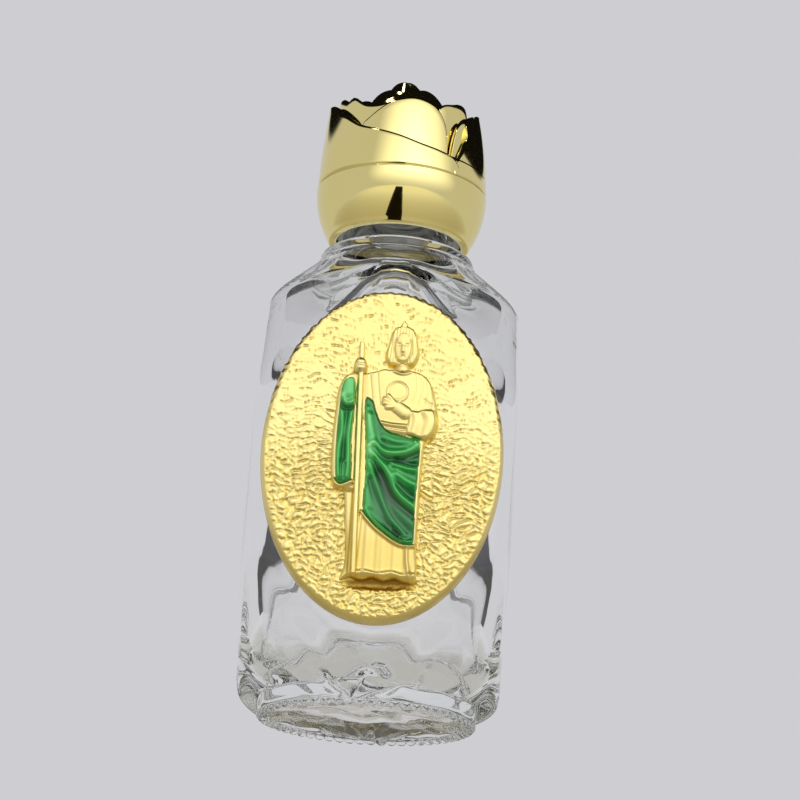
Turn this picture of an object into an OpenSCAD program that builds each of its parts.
/* [Bottle body] */
// Width of the square glass body across two flat faces
body_w = 30; // [28:0.5:33]
// Leg of the flat on each upright corner
corner_cut = 2.4; // [1.8:0.1:3]
// Height of the shoulder cone's top, where the collar starts
shoulder_z = 54.6; // [52:0.2:58]
// Slope of the shoulder cone from level
shoulder_slope = 34; // [30:1:38]
// Thickness of the side walls
glass_wall = 2; // [1.6:0.1:2.4]
// Thickness of the glass floor at its edge
glass_floor = 4.4; // [3.6:0.1:6]
// Radius of the cavity's bottom corner
cavity_fillet = 5; // [3:0.5:6]
// Rise of the floor in the middle of the cavity
floor_rise = 0.6; // [0.3:0.1:1]

/* [Corner facets] */
// Height where the upper corner facets start
upper_facet_z = 36; // [33:0.5:39]
// Inward lean of the upper corner facets from upright
upper_facet_lean = 27.5; // [22:0.5:30]
// Height where the lower corner facets start
lower_facet_z = 15; // [13:0.5:18]
// Inward lean of the lower corner facets from upright
lower_facet_lean = 34; // [28:0.5:38]
// Height of the round foot that the lower facets end on
foot_z = 2.7; // [2.4:0.1:3.4]
// Radius of the round foot
foot_r = 12.5; // [12.4:0.1:13]

/* [Base ring] */
// Radius of the ring of beads that the bottle stands on
ring_r = 11.85; // [11:0.05:12.4]
// Number of beads round the ring
bead_count = 60; // [48:1:62]
// Radius of one bead at its flat tip
bead_r = 0.42; // [0.35:0.01:0.45]
// Height of the beads
bead_h = 0.6; // [0.4:0.1:0.8]
// Depth of the hollow under the base
push_up = 1.2; // [0.8:0.1:1.6]

/* [Neck and thread] */
// Radius of the collar at its foot
collar_r = 9.7; // [9.2:0.1:10.2]
// Radius of the collar at its top
collar_top_r = 8.5; // [8.2:0.1:9]
// Height of the collar
collar_h = 1.8; // [1.6:0.1:2.4]
// Radius of the neck between its threads
neck_r = 5.8; // [5.6:0.1:6]
// Height of the neck above the collar
neck_h = 10.2; // [9.6:0.1:11]
// Radius of the neck's bore
bore_r = 3.6; // [3.3:0.1:3.9]
// Distance between two turns of the thread
thread_pitch = 2.1; // [2:0.05:2.4]
// Height of the thread above the neck
thread_h = 0.65; // [0.55:0.05:0.75]
// Turns of thread on the neck
neck_turns = 1.75; // [1.25:0.25:2]
// Radial room between the two threads
thread_gap = 0.25; // [0.2:0.05:0.3]

/* [Drip plug and seal] */
// Radius of the hole that drips
drip_r = 0.8; // [0.5:0.1:1.2]
// Length of the plug inside the bore
plug_len = 5; // [4:0.5:6]
// Thickness of the plug's flange on the neck's rim
plug_flange = 0.6; // [0.5:0.1:0.8]
// Thickness of the sealing wad
wad_t = 1; // [0.8:0.1:1.2]

/* [Cap] */
// Gap between the collar and the cap's rim
cap_gap = 1.7; // [1.4:0.1:2.2]
// Widest radius of the cap, at its seam
cap_r = 10.25; // [10:0.05:10.8]
// Height of the cap's lower bowl
bowl_h = 6.5; // [6:0.1:7]
// Wall of the metal bowl
bowl_wall = 1; // [0.8:0.1:1.1]
// Wall of the threaded insert
insert_wall = 0.7; // [0.6:0.05:0.75]
// Height of the rose above the seam
crown_h = 15.2; // [14.6:0.1:16.5]
// Thickness of one petal
petal_t = 0.9; // [0.7:0.05:1]

/* [Medallion] */
// Width of the oval medallion
medal_w = 26.8; // [25:0.2:28]
// Height of the oval medallion
medal_h = 38.2; // [36:0.2:39]
// Height of the medallion's centre above the table
medal_z = 27.2; // [26:0.2:29]
// Thickness of the medallion's plate
plate_t = 2.2; // [1.8:0.1:2.6]
// Width of the sloping edge of the plate
plate_bevel = 0.8; // [0.5:0.1:1]
// Height of the robe above the plate
robe_t = 0.9; // [0.7:0.1:1.2]
// Thickness of the green enamel
enamel_t = 0.5; // [0.3:0.05:0.6]
// Thickness of the adhesive pad behind the plate
pad_t = 0.4; // [0.3:0.1:0.8]

/* [Hidden] */
$fn = 64;

// small overlap that joins two shapes of one piece
weld = 0.3;
// larger than any part of the object
far = 60;
// room between two fitted pieces of the cap
fit_gap = 0.05;
// smallest step that keeps two surfaces apart
hair = 0.01;

half_w = body_w / 2;
side_x = half_w - corner_cut;
shoulder_rise = tan(shoulder_slope);
// the shoulder cone's outside height at a radius
function shoulder_at(r) = shoulder_z - (r - collar_r) * shoulder_rise;
// the round form reaches past the body's corners
form_r = half_w * 1.45;
// slope of the heel cone from level
heel_slope = 28;
heel_rise = tan(heel_slope);
// distance of the upright corner flats from the axis
corner_d = (half_w + side_x) / sqrt(2);
// reach of the cavity's round corners past the flat faces
cavity_reach = 0.6;
cavity_r = half_w + cavity_reach;
// extra glass under the shoulder
roof_extra = 0.1;
roof_drop = glass_wall / cos(shoulder_slope) + roof_extra;
// half width of the flat band that joins the beads
band_half = 0.2;
// distance of the base hollow from the ring, and its radius at the top
hollow_margin = 1.2;
hollow_top_r = 4;

neck_z = shoulder_z + collar_h;
rim_z = neck_z + neck_h;
bore_top_z = shoulder_at(bore_r) - roof_drop;
cap_z = neck_z + cap_gap;
seam_z = cap_z + bowl_h;
wad_z = rim_z + plug_flange;
insert_in_z = wad_z + wad_t;
// roof of the insert, and the depth of its foot inside the cap
insert_roof = 1;
insert_depth = 0.8;
insert_z = cap_z + insert_depth;
insert_top_z = insert_in_z + insert_roof;
insert_bore_r = neck_r + thread_h + thread_gap;
insert_r = insert_bore_r + insert_wall;
wad_r = insert_bore_r - thread_gap;

// top end of the neck's thread below the rim
thread_drop = 2.2;
// half widths of a thread at its foot and at its crest
ridge_foot = 0.6;
ridge_crest = 0.25;
insert_turns = 2;
neck_thread_z = rim_z - thread_drop - thread_pitch * neck_turns;
// the insert's thread runs half a pitch below the neck's
insert_thread_z = neck_thread_z - thread_pitch / 2;

// room round the plug in the bore, step of its flange, its wall and its roof below the rim
plug_gap = 0.03;
flange_step = 0.1;
plug_wall = 0.8;
plug_roof = 1.4;

// width of the bowl's flat rim, and thickness of the flange inside it
bowl_lip = 0.8;
bowl_flange = 1;
bowl_rim_r = insert_r + fit_gap + bowl_lip;
bowl_sag = cap_r - bowl_rim_r;
bowl_arc = (bowl_sag * bowl_sag + bowl_h * bowl_h) / (2 * bowl_sag);
// the bowl's outside radius at a height above its rim
function bowl_at(h) = cap_r - bowl_arc + sqrt(bowl_arc * bowl_arc - pow(bowl_h - h, 2));

// wall and roof of the crown's hollow core
core_wall = 0.75;
crown_roof = 1.2;
core_r = insert_r + fit_gap + core_wall;
crown_roof_z = insert_top_z + crown_roof;
// step back of the crown at the seam, and height of its skirt
seam_step = 0.1;
skirt_h = 2.2;
crown_r = cap_r - seam_step;
pocket_z = seam_z + skirt_h;
crown_top_z = seam_z + crown_h;
// spigot that centres the crown in the bowl
spigot_h = 1.2;
spigot_room = 0.15;
spigot_r = cap_r - bowl_wall - spigot_room;

face_y = -half_w;
medal_y = face_y - pad_t;
field_y = medal_y - plate_t;
robe_y = field_y - robe_t;

// A ring of points round an ellipse
oval_points = 72;
function oval(a, b) = [for (i = [0 : oval_points - 1]) let (t = 360 * i / oval_points) [a * cos(t), b * sin(t)]];

// A helical ridge from start_z, with its foot at foot_r and its crest at crest_r
module thread_ridge(foot_r, crest_r, start_z, turns) {
    steps = ceil(turns * 28);
    ring = [for (i = [0 : steps]) let (a = 360 * turns * i / steps, z = start_z + thread_pitch * a / 360)
        for (c = [[foot_r, -ridge_foot], [crest_r, -ridge_crest], [crest_r, ridge_crest], [foot_r, ridge_foot]])
            [c[0] * cos(a), c[0] * sin(a), z + c[1]]];
    last = 4 * steps;
    sides = [for (i = [0 : steps - 1]) for (k = [0 : 3]) let (n = (k + 1) % 4)
        [4 * i + k, 4 * i + n, 4 * i + 4 + n, 4 * i + 4 + k]];
    ends = [[3, 2, 1, 0], [last, last + 1, last + 2, last + 3]];
    outward = crest_r > foot_r;
    faces = concat(sides, ends);
    polyhedron(ring, outward ? faces : [for (f = faces) [f[3], f[2], f[1], f[0]]], convexity = 8);
}

// Block outside a corner facet that leans inward from height z, with the wall inset
module corner_cutter(z, lean, inset) {
    translate([corner_d - inset / cos(lean), 0, z])
        rotate([0, -lean, 0])
            translate([0, -far, 0])
                cube([far, 2 * far, far]);
}

// Square body with flat corners and slanted corner facets, inset by a wall
module faceted_prism(inset) {
    half = half_w - inset;
    s = side_x - inset * tan(22.5);
    difference() {
        linear_extrude(far + 40)
            polygon([[s, -half], [half, -s], [half, s], [s, half],
                     [-s, half], [-half, s], [-half, -s], [-s, -half]]);
        for (turn = [45 : 90 : 315])
            rotate([0, 0, turn]) {
                corner_cutter(upper_facet_z, upper_facet_lean, inset);
                translate([0, 0, lower_facet_z])
                    mirror([0, 0, 1])
                        corner_cutter(0, lower_facet_lean, inset);
            }
    }
}

// The turned form that gives the heel and the shoulder
module round_form() {
    heel_top = bead_h + (form_r - foot_r) * heel_rise;
    rotate_extrude()
        polygon([[0, bead_h], [foot_r, bead_h], [form_r, heel_top], [form_r, shoulder_at(form_r)],
                 [collar_r, shoulder_z], [0, shoulder_z]]);
}

// Inside of the bottle from its floor to the top of the bore
module cavity() {
    corner_r = cavity_r - cavity_fillet;
    floor_arc = [for (a = [0 : 15 : 90])
        [corner_r + cavity_fillet * sin(a), glass_floor + cavity_fillet * (1 - cos(a))]];
    intersection() {
        faceted_prism(glass_wall);
        rotate_extrude()
            polygon(concat([[0, glass_floor + floor_rise]], floor_arc,
                           [[cavity_r, shoulder_at(cavity_r) - roof_drop],
                            [bore_r - hair, bore_top_z], [0, bore_top_z]]));
    }
    translate([0, 0, bore_top_z - 1])
        cylinder(r = bore_r, h = rim_z - bore_top_z + 2);
}

// Ring of beads with flat tips, joined by a narrow flat band
module bead_ring() {
    difference() {
        cylinder(r = ring_r + band_half, h = bead_h + weld);
        translate([0, 0, -1])
            cylinder(r = ring_r - band_half, h = bead_h + 2);
    }
    for (i = [0 : bead_count - 1])
        rotate([0, 0, 360 * i / bead_count])
            translate([ring_r, 0, 0])
                cylinder(r = bead_r, h = bead_h + weld, $fn = 24);
}

// Glass bottle with its collar, threaded neck and beaded foot
module bottle() {
    color([0.86, 0.91, 0.89, 0.45])
    difference() {
        union() {
            intersection() {
                faceted_prism(0);
                round_form();
            }
            translate([0, 0, bead_h])
                cylinder(r = foot_r, h = foot_z - bead_h);
            bead_ring();
            translate([0, 0, shoulder_z - weld])
                rotate_extrude()
                    polygon([[0, 0], [collar_r, 0], [collar_r, weld],
                             [collar_top_r, weld + collar_h], [0, weld + collar_h]]);
            translate([0, 0, neck_z - weld])
                cylinder(r = neck_r, h = neck_h + weld);
            thread_ridge(neck_r - weld, neck_r + thread_h, neck_thread_z, neck_turns);
        }
        cavity();
        // shallow hollow under the base
        translate([0, 0, bead_h - hair])
            cylinder(r1 = ring_r - hollow_margin, r2 = hollow_top_r, h = push_up);
    }
}

// Soft plug pressed into the neck, with a small hole
module drip_plug() {
    color([0.93, 0.94, 0.92])
    difference() {
        union() {
            translate([0, 0, rim_z])
                cylinder(r = neck_r - flange_step, h = plug_flange);
            translate([0, 0, rim_z - plug_len])
                cylinder(r = bore_r - plug_gap, h = plug_len + weld);
        }
        translate([0, 0, rim_z - plug_len - 1])
            cylinder(r = bore_r - plug_wall, h = plug_len + 1 - plug_roof);
        translate([0, 0, rim_z - plug_len])
            cylinder(r = drip_r, h = plug_len + 2);
    }
}

// Threaded plastic cup inside the cap
module cap_insert() {
    color([0.9, 0.9, 0.88])
    union() {
        difference() {
            translate([0, 0, insert_z])
                cylinder(r = insert_r, h = insert_top_z - insert_z);
            translate([0, 0, insert_z - 1])
                cylinder(r = insert_bore_r, h = insert_in_z - insert_z + 1);
        }
        thread_ridge(insert_bore_r + weld, neck_r + thread_gap, insert_thread_z, insert_turns);
    }
}

// Foam disc that seals on the plug's flange
module sealing_wad() {
    color([0.97, 0.97, 0.95])
    translate([0, 0, wad_z])
        cylinder(r = wad_r, h = wad_t);
}

// Lower metal bowl of the cap
module cap_bowl() {
    steps = 10;
    outer = [for (i = [0 : steps]) let (h = bowl_h * i / steps) [bowl_at(h), h]];
    inner = [for (i = [steps : -1 : 2]) let (h = bowl_h * i / steps) [bowl_at(h) - bowl_wall, h]];
    color([0.9, 0.8, 0.47])
    translate([0, 0, cap_z])
        rotate_extrude()
            polygon(concat(outer, inner, [[bowl_at(bowl_flange) - bowl_wall, bowl_flange],
                                          [insert_r + fit_gap, bowl_flange], [insert_r + fit_gap, 0]]));
}

// One petal: an upright curved wall with a round top edge
module petal(middle, half_span, base_r, lean, base_z, top_z, arch_r) {
    rise = top_z - base_z;
    rotate([0, 0, middle])
        intersection() {
            rotate([0, 0, -half_span])
                translate([0, 0, base_z - weld])
                    rotate_extrude(angle = 2 * half_span)
                        polygon([[base_r - petal_t, 0], [base_r, 0], [base_r - 0.3 * lean, rise / 2],
                                 [base_r - lean, rise + weld], [base_r - lean - petal_t, rise + weld]]);
            translate([0, 0, top_z - arch_r])
                rotate([0, 90, 0])
                    cylinder(r = arch_r, h = far);
        }
}

// Petals of the rose: middle angle, half span, height above the seam and radius of the round top
outer_petals = [[-150, 80, 9.5, 10.5], [-5, 45, 10.2, 7.2], [85, 45, 10, 8]];
second_petals = [[-150, 30, 10.4, 6], [-88, 34, 9.5, 5.6], [-35, 22, 10, 5],
                 [22, 32, 10.6, 6], [88, 32, 10.4, 6], [150, 28, 10.6, 6]];
inner_petals = [[-120, 58, 12.8, 7], [0, 58, 13.2, 7], [120, 58, 13, 7]];
// outside radius of each ring of petals at its foot, and how far it leans in to the top
outer_r = crown_r - 0.15;
outer_lean = 0.6;
second_r = core_r + 0.35;
second_lean = 0.1;
inner_r = 5.9;
inner_lean = 0.7;
// outline of the bud above the crown's roof
bud_h = crown_top_z - crown_roof_z;
bud_outline = [[0, -weld], [3, -weld], [3.3, 0.45 * bud_h], [2.6, 0.75 * bud_h],
               [1.3, bud_h - weld], [0, bud_h]];

// Rose that forms the top of the cap
module rose_crown() {
    color([0.93, 0.83, 0.5])
    union() {
        // hollow core over the insert, with the spigot, the skirt and the floor of the petals
        rotate_extrude()
            polygon([[0, insert_top_z], [insert_r + fit_gap, insert_top_z],
                     [insert_r + fit_gap, seam_z - spigot_h], [spigot_r, seam_z - spigot_h], [spigot_r, seam_z],
                     [crown_r, seam_z], [crown_r, pocket_z], [core_r, pocket_z],
                     [core_r, crown_roof_z], [0, crown_roof_z]]);
        // outer petals, wide and low
        for (p = outer_petals)
            petal(p[0], p[1], outer_r, outer_lean, pocket_z, seam_z + p[2], p[3]);
        // second petals, upright
        for (p = second_petals)
            petal(p[0], p[1], second_r, second_lean, pocket_z, seam_z + p[2], p[3]);
        // inner petals round the bud
        for (p = inner_petals)
            petal(p[0], p[1], inner_r, inner_lean, crown_roof_z, seam_z + p[2], p[3]);
        // closed bud
        translate([0, 0, crown_roof_z])
            rotate_extrude()
                polygon(bud_outline);
    }
}

// Outline on the medallion's face, raised by height from depth y
module relief(points, y, height) {
    translate([0, y, medal_z])
        rotate([90, 0, 0])
            linear_extrude(height)
                polygon(points);
}

// Ball on the medallion's face
module knob(place, r, y) {
    translate([place[0], y, medal_z + place[1]])
        sphere(r = r);
}

// Outlines on the medallion's face, from its centre, across and up
robe_outline = [[0.4, 9], [2.9, 9], [5.2, 8.2], [5.9, 3.6], [5.2, 0.2], [4.5, -6], [4.2, -14.4], [0.3, -14.9],
                [-3.6, -15], [-3, -4.2], [-5.1, -3.8], [-5.3, 3], [-4.7, 8.4], [-3.3, 9.4], [-1, 8.4]];
chest_outline = [[0.4, 8.9], [2.8, 8.9], [5, 8.1], [5.7, 3.7], [4.6, 2.8], [2.6, 3],
                 [0, 4.2], [-2, 6], [-2.2, 7.6], [-0.6, 8.2]];
forearm_outline = [[5.6, 4], [4.9, 2.9], [3, 3.6], [1.2, 4.6], [1.6, 5.6], [3.4, 5]];
hair_outline = [[0, 10], [-0.4, 11], [0.1, 13], [0.8, 14.1], [2.2, 14.1],
                [3, 13], [3.5, 11], [3.1, 10], [1.6, 9.6]];
flame_outline = [[0.9, 13.9], [1.9, 13.9], [2, 14.7], [1.3, 15.6], [0.8, 14.7]];
mantle_outline = [[-2.4, 5.8], [0, 3.7], [2.6, 2.5], [5.3, 2.4], [5.1, -2],
                  [4.2, -10.2], [1.2, -8.3], [-1.6, -6.9], [-2.3, -2]];
sleeve_outline = [[-4.6, 8.1], [-3.6, 7.8], [-3.5, -4.1], [-5, -3.7], [-5.2, 3]];
// heights of the raised layers above the layer they stand on
chest_t = 0.4;
forearm_t = 0.9;
hair_t = 0.8;
flame_t = 0.6;
// places and radii of the round forms
head_at = [1.55, 12.1];
head_r = 1.6;
beard_at = [1.6, 10.5];
beard_r = 1;
staff_x = -3;
staff_low = -14;
staff_high = 12.6;
staff_r = 0.45;
staff_hand = [-2.9, 9.2];
chest_hand = [1.3, 4.9];
hand_r = 0.9;
disc_at = [1.4, 6.9];
disc_r = 1.5;
disc_t = 0.4;
fold_r = 0.35;
fold_h = 4;
fold_first = -2.3;
fold_step = 1.25;
fold_last = 4;
// margins of the adhesive pad inside the plate, at the sides and at the ends
pad_side = 3;
pad_end = 5;

// Oval plate with the raised robed figure
module medallion() {
    taper = 1 - 2 * plate_bevel / medal_w;
    color([0.86, 0.7, 0.3])
    union() {
        translate([0, medal_y, medal_z])
            rotate([90, 0, 0])
                linear_extrude(plate_t, scale = taper)
                    polygon(oval(medal_w / 2, medal_h / 2));
        relief(robe_outline, field_y + weld, robe_t + weld);
        relief(chest_outline, robe_y + weld, chest_t + weld);
        relief(forearm_outline, robe_y + weld, forearm_t + weld);
        relief(hair_outline, field_y + weld, hair_t + weld);
        relief(flame_outline, field_y + weld, flame_t + weld);
        knob(head_at, head_r, field_y - hair_t + head_r / 2);
        knob(beard_at, beard_r, field_y - hair_t + beard_r / 4);
        translate([staff_x, field_y - 2 * staff_r, medal_z + staff_low])
            cylinder(r = staff_r, h = staff_high - staff_low);
        knob(staff_hand, hand_r, field_y - hand_r);
        knob(chest_hand, hand_r, robe_y - chest_t);
        translate([disc_at[0], robe_y - chest_t + weld, medal_z + disc_at[1]])
            rotate([90, 0, 0])
                cylinder(r = disc_r, h = disc_t + weld);
        for (x = [fold_first : fold_step : fold_last])
            translate([x, robe_y, medal_z + robe_outline[8][1] + fold_r])
                cylinder(r = fold_r, h = fold_h);
    }
}

// Green fill of the cloak that crosses the figure
module mantle_enamel() {
    color([0.1, 0.52, 0.27])
    relief(mantle_outline, robe_y, enamel_t);
}

// Green fill of the hanging sleeve
module sleeve_enamel() {
    color([0.1, 0.52, 0.27])
    relief(sleeve_outline, robe_y, enamel_t);
}

// Double-sided foam pad that holds the medallion on the glass
module adhesive_pad() {
    color([0.92, 0.92, 0.9])
    translate([0, face_y, medal_z])
        rotate([90, 0, 0])
            linear_extrude(pad_t)
                polygon(oval(medal_w / 2 - pad_side, medal_h / 2 - pad_end));
}

bottle();
drip_plug();
cap_insert();
sealing_wad();
cap_bowl();
rose_crown();
medallion();
mantle_enamel();
sleeve_enamel();
adhesive_pad();
